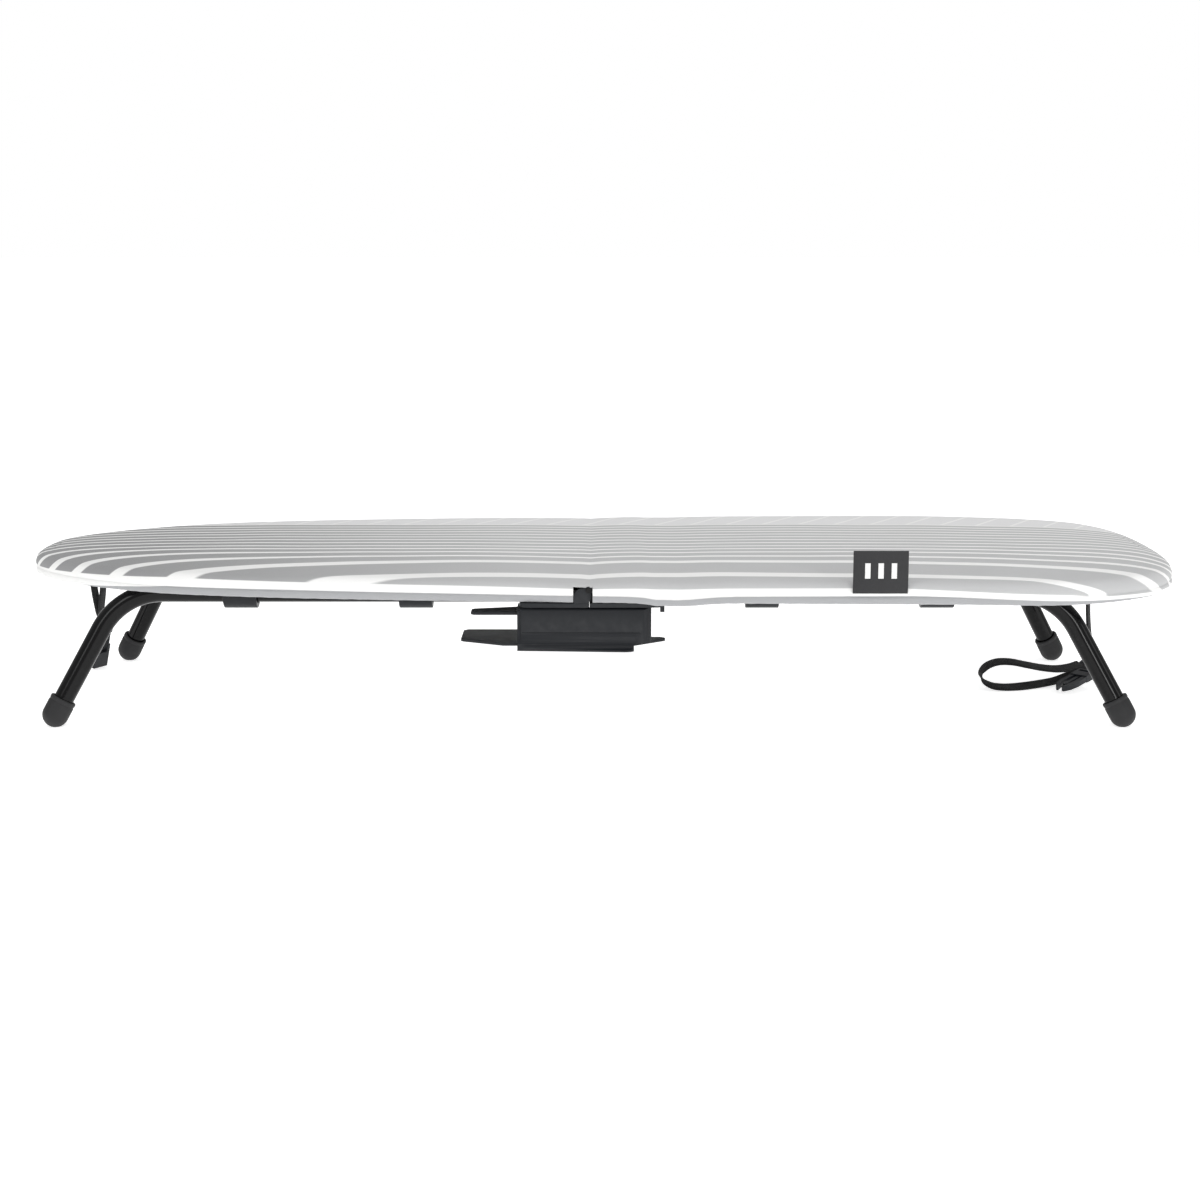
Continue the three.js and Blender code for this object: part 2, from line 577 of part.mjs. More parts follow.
// The plug half of the buckle: a base with a slot, a middle tongue and two spring arms.
const plugBuckle = () => {
  const base = box(-7, 7, -2.6, 2.6, -3, 9).subtract(box(-5.2, 5.2, -3, 3, -1, 1.6));
  const tongue = box(-1.4, 1.4, -1.6, 1.6, 8, 27);
  const arms = [-1, 1].map((k) => polygon([
    [k * 3, 8], [k * 6.8, 8], [k * 7.4, 20], [k * 6.2, 28], [k * 3.2, 33], [k * 1.6, 33], [k * 3.4, 25],
    [k * 3.8, 18],
  ]));
  return wasm.Manifold.union([base, tongue, ...arms.map((arm) => prismY(arm, -2, 2))]);
};

const placed = (solid, [x, y, z], [rx, ry, rz]) => solid.rotate([rx, ry, rz]).translate([x, y, z]);

// ---------------------------------------------------------------- assembly

const SIDES = [['left', -1], ['right', 1]];
const EDGES = [['front', -1], ['rear', 1]];
const CLIP_NAMES = ['inner', 'outer'];

for (const [sideName, side] of SIDES) {
  addPiece(`${sideName}_cover`, cover(side), STRIPED_COTTON);
  addPiece(`${sideName}_pad`, pad(side), FELT);
  addPiece(`${sideName}_mesh_panel`, panel(side), PAINTED_STEEL);
  CLIP_X.forEach((clipX, i) => {
    const shift = i === 0 ? BAR_SHIFT : 0;
    addPiece(`${sideName}_crossbar_${CLIP_NAMES[i]}`, crossbar(side, clipX, shift), PAINTED_STEEL);
  });
  for (const [edgeName, edge] of EDGES) {
    const place = `${edgeName}_${sideName}`;
    addPiece(`hinge_bracket_${place}`, hingeBracket(side, edge), SLATE_PLASTIC);
    addPiece(`leg_tube_${place}`, legTube(side, edge), BLACK_ENAMEL);
    addPiece(`leg_foot_${place}`, footCap(side, edge), BLACK_RUBBER);
    addPiece(`leg_plug_${place}`, tubePlug(side, edge), SLATE_PLASTIC);
    addPiece(`leg_stop_${place}`, stopRivet(side, edge), ZINC);
    CLIP_X.forEach((clipX, i) => {
      const clipPlace = `${place}_${CLIP_NAMES[i]}`;
      addPiece(`leg_clip_${clipPlace}`, saddleClip(side, clipX, edge), SLATE_PLASTIC);
      addPiece(`clip_screw_${clipPlace}`, clipScrew(side, clipX, edge), ZINC);
    });
  }
}

for (const [edgeName, edge] of EDGES) {
  addPiece(`hinge_pin_${edgeName}`, hingePin(edge), ZINC);
}

addPiece('lock_rail', mirrorX(railSolid(LEFT_RAIL)), SLATE_PLASTIC);
addPiece('lock_keeper', railSolid(KEEPER), SLATE_PLASTIC);
addPiece('lock_slider', slider(), SLATE_PLASTIC);

addPiece('cover_tag', box(TAG.x0, TAG.x1, TAG.y, TAG.y + TAG.t, TAG.z0, TAG.z1), BLACK_WEBBING);

const LEFT_ACROSS = [0.3, 0.95, 0];
const leftStrap = band(LEFT_STRAP, LEFT_ACROSS, 2).add(band(LEFT_STRAP_RETURN, LEFT_ACROSS, 2));
addPiece('left_strap', leftStrap, BLACK_WEBBING);
addPiece('left_buckle_socket', placed(socketBuckle(), [-374.6, 74.3, 16.8], [14, 0, 62]), SLATE_PLASTIC);
addPiece('right_strap', band(RIGHT_STRAP, [0.45, 0.9, 0], 2), BLACK_WEBBING);
addPiece('right_strap_adjuster', placed(slideAdjuster(), [371.8, 28.7, 13], [104, 0, -42]), SLATE_PLASTIC);
addPiece('right_strap_loop', band(FLOOR_LOOP, [0, 0.95, 0.25], 2), BLACK_WEBBING);
addPiece('right_buckle_plug', placed(plugBuckle(), [364, 8.8, 10.2], [100, 0, -47]), SLATE_PLASTIC);

// The origin is under the middle of the whole object's box.
board.position.set(-5.4, 0.7, 0);

export default board;
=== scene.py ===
# Looks for a table-top ironing board that folds in half.
# Metres and the frame's axes throughout. "Design" coordinates have the fold at x = 0, the centre line
# at y = 0 and the floor at z = 0; DESIGN_ORIGIN is where that origin lies in the frame.
import json
import math

import bmesh
import bpy
import numpy as np
from mathutils import Matrix, Vector, noise


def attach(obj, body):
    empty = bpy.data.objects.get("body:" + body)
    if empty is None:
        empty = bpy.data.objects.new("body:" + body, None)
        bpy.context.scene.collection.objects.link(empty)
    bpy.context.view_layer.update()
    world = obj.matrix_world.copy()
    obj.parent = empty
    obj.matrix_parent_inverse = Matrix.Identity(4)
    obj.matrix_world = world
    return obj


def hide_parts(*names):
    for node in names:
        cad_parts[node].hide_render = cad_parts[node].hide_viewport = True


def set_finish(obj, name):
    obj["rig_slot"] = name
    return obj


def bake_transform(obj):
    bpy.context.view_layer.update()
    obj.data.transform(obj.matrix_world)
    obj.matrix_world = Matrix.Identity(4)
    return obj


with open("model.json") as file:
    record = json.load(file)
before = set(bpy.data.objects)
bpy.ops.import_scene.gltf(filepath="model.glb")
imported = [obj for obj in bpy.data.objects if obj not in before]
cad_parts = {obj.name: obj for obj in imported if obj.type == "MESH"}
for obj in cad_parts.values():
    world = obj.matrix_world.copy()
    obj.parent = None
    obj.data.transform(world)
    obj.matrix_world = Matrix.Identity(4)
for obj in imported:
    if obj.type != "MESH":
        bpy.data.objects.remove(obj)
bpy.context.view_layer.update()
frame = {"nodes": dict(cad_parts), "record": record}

DESIGN_ORIGIN = Vector((-0.0054, 0.0007, 0.0))
SIDES = (("left", -1), ("right", 1))
EDGES = (("front", -1), ("rear", 1))
CLIPS = (("inner", 0.117), ("outer", 0.2355))

record = frame["record"]
BODY_OF = {
    node: body for body, nodes in record["behaviour"]["bodies"].items() for node in nodes
}
SLOT_OF = {part["node"]: part["material_slot"] for part in record["subparts"]}


def place(x, y, z):
    """A point in design coordinates, as a point in the frame."""
    return Vector((x, y, z)) + DESIGN_ORIGIN


# ---------------------------------------------------------------- camera

camera_data = bpy.data.cameras.new("camera")
camera_data.sensor_width = 36
camera_data.lens = 61.02
camera_data.clip_start = 0.05
camera_data.clip_end = 60
camera = bpy.data.objects.new("camera", camera_data)
camera.location = (0.0020, -1.4511, 0.3264)
camera.rotation_euler = (math.radians(79.87), 0, 0)
bpy.context.scene.collection.objects.link(camera)
bpy.context.scene.camera = camera


# ---------------------------------------------------------------- materials


class Finish:
    """A principled material, and the nodes that vary it."""

    def __init__(self, name, colour, roughness, **sockets):
        self.material = bpy.data.materials.new(name)
        self.material.use_nodes = True
        self.tree = self.material.node_tree
        self.shader = self.tree.nodes["Principled BSDF"]
        self.shader.inputs["Base Color"].default_value = (*colour, 1)
        self.shader.inputs["Roughness"].default_value = roughness
        for socket, value in sockets.items():
            self.shader.inputs[socket.replace("_", " ")].default_value = value
        self.colour = colour
        self.position = self.add("ShaderNodeTexCoord").outputs["Object"]

    def add(self, kind, inputs=None, **settings):
        node = self.tree.nodes.new(kind)
        for name, value in settings.items():
            setattr(node, name, value)
        for socket, value in (inputs or {}).items():
            self.feed(node.inputs[socket], value)
        return node

    def feed(self, socket, value):
        if isinstance(value, bpy.types.NodeSocket):
            self.tree.links.new(value, socket)
        else:
            socket.default_value = value

    def math(self, operation, a, b=0.0, clamp=False):
        node = self.add("ShaderNodeMath", {0: a, 1: b}, operation=operation, use_clamp=clamp)
        return node.outputs[0]

    def noise(self, scale, detail=2.0, stretch=None):
        vector = self.position
        if stretch is not None:
            mapping = self.add("ShaderNodeMapping", {"Vector": vector, "Scale": stretch})
            vector = mapping.outputs[0]
        inputs = {"Vector": vector, "Scale": scale, "Detail": detail}
        return self.add("ShaderNodeTexNoise", inputs).outputs["Fac"]

    def between(self, value, low, high):
        """Maps a 0 to 1 value onto low to high."""
        inputs = {"Value": value, "To Min": low, "To Max": high}
        return self.add("ShaderNodeMapRange", inputs).outputs[0]

    def mix(self, factor, a, b):
        node = self.add("ShaderNodeMix", {0: factor}, data_type="RGBA")
        self.feed(node.inputs[6], a)
        self.feed(node.inputs[7], b)
        return node.outputs[2]

    def multiply(self, a, b):
        node = self.add("ShaderNodeMix", {0: 1.0}, data_type="RGBA", blend_type="MULTIPLY")
        self.feed(node.inputs[6], a)
        self.feed(node.inputs[7], b)
        return node.outputs[2]

    def shade(self, factor, colour, low, high):
        """colour, darkened or lightened between two multiples of itself."""
        dark = (*(c * low for c in colour), 1)
        light = (*(min(c * high, 1) for c in colour), 1)
        return self.mix(factor, dark, light)

    def set_colour(self, value):
        self.feed(self.shader.inputs["Base Color"], value)

    def set_roughness(self, value):
        self.feed(self.shader.inputs["Roughness"], value)

    def bump(self, height, distance, strength=1.0):
        inputs = {"Height": height, "Distance": distance, "Strength": strength}
        before = self.shader.inputs["Normal"]
        if before.is_linked:
            inputs["Normal"] = before.links[0].from_socket
        self.feed(before, self.add("ShaderNodeBump", inputs).outputs[0])

    def pale_edges_wear_and_highlight(self, colour, amount, size):
        """Lightens the colour along sharp edges in noisy patches: partly wear, partly a painted highlight
        on the edges.
        """
        pointiness = self.add("ShaderNodeNewGeometry").outputs["Pointiness"]
        edge = self.math("MULTIPLY", self.math("SUBTRACT", pointiness, 0.5 + size), 12.0, clamp=True)
        # painted highlight and wear: paler where the surface is sharply convex, in noisy patches
        wear_and_highlight_mask = self.math("MULTIPLY", edge, self.noise(220.0, 3.0))
        pale = (*(min(c + amount, 1) for c in self.colour), 1)
        return self.mix(wear_and_highlight_mask, colour, pale)


def attribute(finish, name):
    return finish.add("ShaderNodeAttribute", attribute_name=name).outputs["Fac"]


def woven(finish, u, v, pitch, depth):
    """Over-and-under threads of a plain weave, from two coordinates in metres."""
    turn = 2 * math.pi / pitch
    warp = finish.math("SINE", finish.math("MULTIPLY", u, turn))
    weft = finish.math("SINE", finish.math("MULTIPLY", v, turn))
    finish.bump(finish.math("MULTIPLY", warp, weft), depth)


GREY = (0.51, 0.513, 0.517)
DEEP_GREY = (0.29, 0.292, 0.296)
WHITE = (0.88, 0.88, 0.87)
PALE_GREY = (0.755, 0.755, 0.76)
HEM_GREY = (0.375, 0.38, 0.39)
FAR_BAND = 13.0  # line number where the pale band starts
LINE_SOFTNESS = 0.035  # of the spacing between two lines
STREAK_SLOPE = 0.6
STREAKS_PER_METRE = 36.0
STREAK_HALF_WIDTH = 0.07  # of the spacing between two streaks
THREAD_PITCH = 0.0008


def cover_finish():
    """Grey cotton with nested white lines, a pale band with slanting streaks, and a bound edge."""
    cotton = Finish("striped cotton", GREY, 0.88, Sheen_Weight=0.2, Sheen_Roughness=0.5)
    cotton.shader.inputs["Specular IOR Level"].default_value = 0.25
    plan = cotton.add("ShaderNodeUVMap", uv_map="plan").outputs[0]
    split = cotton.add("ShaderNodeSeparateXYZ", {0: plan})
    across, along = split.outputs[0], split.outputs[1]

    line = attribute(cotton, "line_number")
    half = attribute(cotton, "line_half_width")
    nearest = cotton.math("FRACT", cotton.math("ADD", line, 8.5))
    distance = cotton.math("ABSOLUTE", cotton.math("SUBTRACT", nearest, 0.5))
    soft = cotton.math("DIVIDE", cotton.math("SUBTRACT", half, distance), LINE_SOFTNESS)
    on_line = cotton.math("ADD", soft, 0.5, clamp=True)
    has_line = cotton.math("MULTIPLY", cotton.math("ADD", line, 0.55), 30.0, clamp=True)
    on_line = cotton.math("MULTIPLY", on_line, has_line)

    patches = cotton.noise(26.0, 3.0)
    yarns = cotton.noise(900.0, 1.0, stretch=(1, 4, 1))
    toward_middle = {"Value": across, "From Min": -0.32, "From Max": -0.04}
    toward_middle = cotton.add("ShaderNodeMapRange", toward_middle).outputs[0]
    print_grey = cotton.mix(toward_middle, (*DEEP_GREY, 1), (*GREY, 1))
    mottle = cotton.shade(patches, (1, 1, 1), 0.93, 1.0)
    ground = cotton.multiply(print_grey, mottle)
    ground = cotton.mix(on_line, ground, (*WHITE, 1))

    slant = cotton.math("ADD", across, cotton.math("MULTIPLY", along, -STREAK_SLOPE))
    streak = cotton.math("FRACT", cotton.math("MULTIPLY", slant, STREAKS_PER_METRE))
    streak = cotton.math("ABSOLUTE", cotton.math("SUBTRACT", streak, 0.5))
    streak = cotton.math("SUBTRACT", STREAK_HALF_WIDTH, streak)
    streak = cotton.math("MULTIPLY", streak, 22.0, clamp=True)
    pale = cotton.mix(streak, (*PALE_GREY, 1), (*WHITE, 1))
    in_far_band = cotton.math("SUBTRACT", line, FAR_BAND + 0.12)
    in_far_band = cotton.math("MULTIPLY", in_far_band, 12.0, clamp=True)
    top = cotton.mix(in_far_band, ground, pale)

    on_edge = cotton.math("MULTIPLY", attribute(cotton, "below_edge_line"), 3000.0, clamp=True)
    on_hem = cotton.math("MULTIPLY", attribute(cotton, "below_hem_line"), 3000.0, clamp=True)
    cloth = cotton.mix(on_edge, top, (*WHITE, 1))
    cloth = cotton.mix(on_hem, cloth, (*HEM_GREY, 1))
    yarn_shade = cotton.shade(yarns, (1, 1, 1), 0.93, 1.0)
    cotton.set_colour(cotton.multiply(cloth, yarn_shade))
    cotton.set_roughness(cotton.between(yarns, 0.82, 0.95))
    woven(cotton, across, along, THREAD_PITCH, 0.00005)
    cotton.bump(cotton.noise(160.0, 3.0), 0.00012)
    return cotton.material


def felt_finish():
    """Off-white felt with fine flecks."""
    felt = Finish("felt pad", (0.66, 0.64, 0.58), 0.95, Sheen_Weight=0.4, Sheen_Roughness=0.7)
    flecks = felt.noise(420.0, 4.0)
    felt.set_colour(felt.shade(flecks, felt.colour, 0.75, 1.12))
    felt.bump(flecks, 0.0006)
    return felt.material


def enamel_finish():
    enamel = Finish("black enamel", (0.003, 0.003, 0.0032), 0.14)
    enamel.shader.inputs["Specular IOR Level"].default_value = 0.2
    haze = enamel.noise(45.0, 4.0)
    enamel.set_roughness(enamel.between(haze, 0.1, 0.18))
    enamel.set_colour(enamel.shade(enamel.noise(30.0), enamel.colour, 0.7, 1.5))
    enamel.bump(enamel.noise(180.0, 2.0), 0.00003)
    return enamel.material


def rubber_finish():
    rubber = Finish("black rubber", (0.02, 0.02, 0.021), 0.55)
    rubber.shader.inputs["Specular IOR Level"].default_value = 0.24
    bloom = rubber.noise(60.0, 4.0)
    shaded = rubber.shade(bloom, rubber.colour, 0.8, 1.35)
    # paler sharp edges: partly wear, partly a painted highlight
    rubber.set_colour(rubber.pale_edges_wear_and_highlight(shaded, 0.02, 0.01))
    rubber.set_roughness(rubber.between(bloom, 0.48, 0.66))
    rubber.bump(rubber.noise(1400.0, 2.0), 0.00008)
    return rubber.material


def plastic_finish():
    plastic = Finish("slate plastic", (0.0075, 0.0088, 0.0113), 0.42)
    plastic.shader.inputs["Specular IOR Level"].default_value = 0.24
    flow = plastic.noise(38.0, 3.0)
    shaded = plastic.shade(flow, plastic.colour, 0.85, 1.25)
    # paler sharp edges: partly wear, partly a painted highlight
    plastic.set_colour(plastic.pale_edges_wear_and_highlight(shaded, 0.02, 0.01))
    plastic.set_roughness(plastic.between(plastic.noise(90.0, 4.0), 0.33, 0.5))
    plastic.bump(plastic.noise(2200.0, 2.0), 0.00004)
    return plastic.material


def steel_paint_finish():
    paint = Finish("powder-coated steel", (0.3, 0.31, 0.32), 0.45, Metallic=0.1)
    shaded = paint.shade(paint.noise(35.0, 4.0), paint.colour, 0.85, 1.1)
    # paler sharp edges: partly wear, partly a painted highlight
    paint.set_colour(paint.pale_edges_wear_and_highlight(shaded, 0.12, 0.02))
    paint.set_roughness(paint.between(paint.noise(120.0), 0.38, 0.55))
    paint.bump(paint.noise(700.0, 2.0), 0.00008)
    return paint.material


def zinc_finish():
    zinc = Finish("zinc-plated steel", (0.55, 0.56, 0.58), 0.3, Metallic=1.0)
    brushed = zinc.noise(300.0, 3.0, stretch=(1, 1, 12))
    zinc.set_colour(zinc.shade(zinc.noise(90.0), zinc.colour, 0.75, 1.1))
    zinc.set_roughness(zinc.between(brushed, 0.22, 0.42))
    zinc.bump(brushed, 0.00003)
    return zinc.material


def webbing_finish():
    """Black ribbed webbing; its UV map runs across and along the band, in metres."""
    webbing = Finish("black webbing", (0.006, 0.006, 0.0065), 0.8, Sheen_Weight=0.1)
    webbing.shader.inputs["Specular IOR Level"].default_value = 0.2
    uv = webbing.add("ShaderNodeUVMap", uv_map="band").outputs[0]
    split = webbing.add("ShaderNodeSeparateXYZ", {0: uv})
    rib = webbing.math("SINE", webbing.math("MULTIPLY", split.outputs[1], 2 * math.pi / 0.0011))
    thread = webbing.math("SINE", webbing.math("MULTIPLY", split.outputs[0], 2 * math.pi / 0.0016))
    fuzz = webbing.noise(1200.0, 3.0)
    webbing.set_colour(webbing.shade(fuzz, webbing.colour, 0.6, 2.6))
    webbing.bump(rib, 0.00022)
    webbing.bump(thread, 0.00009)
    return webbing.material


def tag_finish():
    """Charcoal satin ribbon with fine cross ribs."""
    satin = Finish("tag fabric", (0.03, 0.03, 0.032), 0.6, Sheen_Weight=0.15)
    satin.shader.inputs["Specular IOR Level"].default_value = 0.25
    uv = satin.add("ShaderNodeUVMap", uv_map="band").outputs[0]
    split = satin.add("ShaderNodeSeparateXYZ", {0: uv})
    rib = satin.math("SINE", satin.math("MULTIPLY", split.outputs[1], 2 * math.pi / 0.0005))
    satin.set_colour(satin.shade(satin.noise(500.0, 3.0, stretch=(6, 1, 1)), satin.colour, 0.75, 1.3))
    satin.bump(rib, 0.00006)
    return satin.material


def thread_finish():
    thread = Finish("pale thread", (0.8, 0.8, 0.79), 0.8, Sheen_Weight=0.2)
    twist = thread.noise(1500.0, 2.0)
    thread.set_colour(thread.shade(twist, thread.colour, 0.85, 1.05))
    thread.bump(twist, 0.0001)
    return thread.material


def floor_finish():
    floor = Finish("pale floor", (0.9, 0.9, 0.9), 0.7)
    floor.shader.inputs["Emission Color"].default_value = (1, 1, 1, 1)
    floor.shader.inputs["Emission Strength"].default_value = 0.7
    floor.set_colour(floor.shade(floor.noise(3.0), floor.colour, 0.985, 1.0))
    return floor.material


# ---------------------------------------------------------------- mesh helpers


def new_object(name, vertices, faces, material, smooth=True):
    mesh = bpy.data.meshes.new(name)
    mesh.from_pydata([tuple(v) for v in vertices], [], faces)
    mesh.validate()
    mesh.polygons.foreach_set("use_smooth", [smooth] * len(mesh.polygons))
    mesh.materials.append(material)
    obj = bpy.data.objects.new(name, mesh)
    bpy.context.scene.collection.objects.link(obj)
    return obj


def outward(obj):
    """Turns all faces of a closed mesh outward."""
    bm = bmesh.new()
    bm.from_mesh(obj.data)
    bmesh.ops.recalc_face_normals(bm, faces=bm.faces)
    bm.to_mesh(obj.data)
    bm.free()
    return obj


def bevel(obj, width, segments=3, degrees=30):
    """Rounds the sharp edges and keeps the flats flat."""
    obj.data.set_sharp_from_angle(angle=math.radians(degrees))
    modifier = obj.modifiers.new("rounding", "BEVEL")
    modifier.width = width
    modifier.segments = segments
    modifier.limit_method = "ANGLE"
    modifier.angle_limit = math.radians(degrees)
    modifier.harden_normals = True
    return obj


def stands_for(obj, *nodes):
    """obj replaces these CAD nodes, rides on the first one's body and takes its material slot."""
    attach(obj, BODY_OF[nodes[0]])
    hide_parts(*nodes)
    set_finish(obj, SLOT_OF[nodes[0]])
    return obj


def dressed(node, material, width=0.0005, segments=3, degrees=30):
    """A cleaned copy of a CAD node with rounded edges."""
    bm = bmesh.new()
    bm.from_mesh(frame["nodes"][node].data)
    bmesh.ops.remove_doubles(bm, verts=bm.verts, dist=1e-6)
    bmesh.ops.dissolve_limit(
        bm, angle_limit=math.radians(1), verts=bm.verts, edges=bm.edges, use_dissolve_boundaries=False
    )
    mesh = bpy.data.meshes.new("dressed_" + node)
    bm.to_mesh(mesh)
    bm.free()
    mesh.polygons.foreach_set("use_smooth", [True] * len(mesh.polygons))
    mesh.materials.append(material)
    obj = bpy.data.objects.new("dressed_" + node, mesh)
    bpy.context.scene.collection.objects.link(obj)
    bevel(obj, width, segments, degrees)
    return stands_for(obj, node)


def catmull_rom(points, steps, closed=False):
    """Points on a centripetal Catmull-Rom curve, `steps` to each span."""
    count = len(points)
    spans = count if closed else count - 1
    found = []
    for span in range(spans):
        p1, p2 = points[span], points[(span + 1) % count]
        p0 = points[span - 1] if closed or span > 0 else p1 * 2 - p2
        p3 = points[(span + 2) % count] if closed or span < count - 2 else p2 * 2 - p1
        d0, d1, d2 = ((b - a).length ** 0.5 for a, b in ((p0, p1), (p1, p2), (p2, p3)))
        start = ((p1 - p0) / d0 - (p2 - p0) / (d0 + d1) + (p2 - p1) / d1) * d1
        end = ((p2 - p1) / d1 - (p3 - p1) / (d1 + d2) + (p3 - p2) / d2) * d1
        for step in range(steps):
            t = step / steps
            square = p2 * 3 - p1 * 3 - start * 2 - end
            cube = p1 * 2 - p2 * 2 + start + end
            found.append(p1 + start * t + square * t**2 + cube * t**3)
    if not closed:
        found.append(points[-1].copy())
    return found


def band(name, centres, across, width, thickness, material):
    """A flat band along a list of points, with slightly rounded edges and a UV map in metres."""
    r = min(thickness * 0.3, width * 0.1)
    w, t = width / 2, thickness / 2
    section = [
        (-w + r, -t), (0, -t), (w - r, -t), (w, -t + r), (w, t - r),
        (w - r, t), (0, t), (-w + r, t), (-w, t - r), (-w, -t + r),
    ]
    vertices, along, run = [], [], 0.0
    for i, centre in enumerate(centres):
        before, after = centres[max(i - 1, 0)], centres[min(i + 1, len(centres) - 1)]
        tangent = (after - before).normalized()
        flat = (across - tangent * across.dot(tangent)).normalized()
        normal = tangent.cross(flat)
        if i > 0:
            run += (centre - before).length
        for a, b in section:
            vertices.append(centre + flat * a + normal * b)
            along.append((a, run))
    n = len(section)
    faces = [list(range(n))[::-1], [(len(centres) - 1) * n + k for k in range(n)]]
    for i in range(len(centres) - 1):
        for k in range(n):
            a, b = i * n + k, i * n + (k + 1) % n
            faces.append([a, b, b + n, a + n])
    obj = new_object(name, vertices, faces, material)
    layer = obj.data.uv_layers.new(name="band")
    for loop in obj.data.loops:
        layer.data[loop.index].uv = along[loop.vertex_index]
    return outward(obj)


def turned(name, profile, origin, direction, material, sides=40):
    """A profile of (radius, height) pairs turned about a direction from an origin."""
    axis = direction.normalized()
    side = axis.orthogonal().normalized()
    other = axis.cross(side)
    vertices, rings = [], []
    for radius, height in profile:
        centre = origin + axis * height
        if radius == 0:
            rings.append([len(vertices)] * sides)
            vertices.append(centre)
            continue
        rings.append([len(vertices) + k for k in range(sides)])
        for k in range(sides):
            angle = 2 * math.pi * k / sides
            vertices.append(centre + (side * math.cos(angle) + other * math.sin(angle)) * radius)
    faces = []
    for low, high in zip(rings, rings[1:]):
        for k in range(sides):
            quad = [low[k], low[(k + 1) % sides], high[(k + 1) % sides], high[k]]
            faces.append(list(dict.fromkeys(quad)))
    return outward(new_object(name, vertices, faces, material))


def tube(name, centres, radius, bore, material, sides=36):
    """A hollow tube along a list of points, with slightly rounded end rims."""
    rim = (radius - bore) * 0.35
    stations = [(centres[0], bore), (centres[0], radius - rim)]
    first = centres[0] + (centres[1] - centres[0]).normalized() * rim
    last = centres[-1] + (centres[-2] - centres[-1]).normalized() * rim
    stations.append((first, radius))
    stations += [(centre, radius) for centre in centres[1:-1]]
    stations += [(last, radius), (centres[-1], radius - rim), (centres[-1], bore)]
    stations += [(centre, bore) for centre in centres[-2:0:-1]]
    forward = (centres[1] - centres[0]).normalized()
    side = forward.cross(Vector((0, 0, 1))).normalized()
    frames = []
    for i, centre in enumerate(centres):
        tangent = (centres[min(i + 1, len(centres) - 1)] - centres[max(i - 1, 0)]).normalized()
        side = (side - tangent * side.dot(tangent)).normalized()
        frames.append((side, tangent.cross(side)))
    vertices = []
    for centre, r in stations:
        near = min(range(len(centres)), key=lambda i: (centres[i] - centre).length)
        u, v = frames[near]
        for k in range(sides):
            angle = 2 * math.pi * k / sides
            vertices.append(centre + (u * math.cos(angle) + v * math.sin(angle)) * r)
    faces = []
    count = len(stations)
    for i in range(count):
        a, b = i * sides, ((i + 1) % count) * sides
        for k in range(sides):
            m = (k + 1) % sides
            faces.append([a + k, a + m, b + m, b + k])
    return outward(new_object(name, vertices, faces, material))


def prism(name, outline, axis_points, material):
    """A closed outline of points, pulled from the first to the second of two offsets."""
    near, far = axis_points
    n = len(outline)
    vertices = [p + near for p in outline] + [p + far for p in outline]
    faces = [list(range(n)), [n + k for k in range(n)][::-1]]
    for k in range(n):
        m = (k + 1) % n
        faces.append([k, m, n + m, n + k])
    return outward(new_object(name, vertices, faces, material))


# ---------------------------------------------------------------- shared sizes

TOP_Z = 0.1074

# The board's outline: distance along x and half width there.
EDGE_POINTS = [
    (-0.3946, 0), (-0.391, 0.033), (-0.380, 0.0545), (-0.360, 0.077), (-0.327, 0.101),
    (-0.286, 0.121), (-0.226, 0.1355), (-0.150, 0.1457), (-0.075, 0.1522), (0, 0.1573),
    (0.075, 0.160), (0.150, 0.1625), (0.230, 0.164), (0.285, 0.162), (0.337, 0.150),
    (0.375, 0.127), (0.392, 0.100), (0.402, 0.062), (0.4054, 0),
]

cotton = cover_finish()
felt = felt_finish()
enamel = enamel_finish()
rubber = rubber_finish()
plastic = plastic_finish()
steel_paint = steel_paint_finish()
zinc = zinc_finish()
webbing = webbing_finish()
tag_fabric = tag_finish()
pale_thread = thread_finish()

# ---------------------------------------------------------------- straps

WEBBING_WIDTH = 0.010
WEBBING_THICKNESS = 0.0014

LEFT_STRAP = [
    (-0.367, 0.051, 0.097), (-0.3715, 0.052, 0.088), (-0.3729, 0.0526, 0.076),
    (-0.3726, 0.0555, 0.064), (-0.3723, 0.060, 0.054), (-0.3721, 0.064, 0.047),
    (-0.3714, 0.0675, 0.0415), (-0.371, 0.070, 0.0375), (-0.371, 0.0716, 0.0341),
]
LEFT_STRAP_RETURN = [
    (-0.361, 0.0502, 0.097), (-0.3626, 0.051, 0.088), (-0.3644, 0.052, 0.076),
    (-0.3664, 0.055, 0.064), (-0.369, 0.0602, 0.0535), (-0.3713, 0.0648, 0.046),
]
RIGHT_STRAP = [
    (0.374, 0.056, 0.098), (0.3744, 0.0564, 0.080), (0.375, 0.057, 0.062), (0.3758, 0.057, 0.044),
    (0.3766, 0.054, 0.030), (0.377, 0.048, 0.0215), (0.3766, 0.0405, 0.0165),
    (0.3756, 0.0335, 0.0142),
]
RIGHT_STRAP_RETURN = [
    (0.3702, 0.055, 0.098), (0.3710, 0.0555, 0.088), (0.3722, 0.056, 0.078),
    (0.3735, 0.0566, 0.068), (0.3746, 0.057, 0.058),
]
FLOOR_LOOP = [
    (0.3676, 0.0245, 0.0112), (0.361, 0.0215, 0.0094), (0.352, 0.0185, 0.0064),
    (0.343, 0.0155, 0.0038), (0.333, 0.012, 0.0026), (0.322, 0.007, 0.0021), (0.311, 0.002, 0.0021),
    (0.301, 0.000, 0.0024), (0.2935, 0.001, 0.0034), (0.288, 0.003, 0.0066),
    (0.2865, 0.005, 0.0112), (0.290, 0.007, 0.016), (0.298, 0.0085, 0.0192),
    (0.308, 0.009, 0.0194), (0.320, 0.010, 0.017), (0.332, 0.012, 0.0144), (0.344, 0.015, 0.0128),
    (0.355, 0.020, 0.013), (0.364, 0.0255, 0.0144),
]
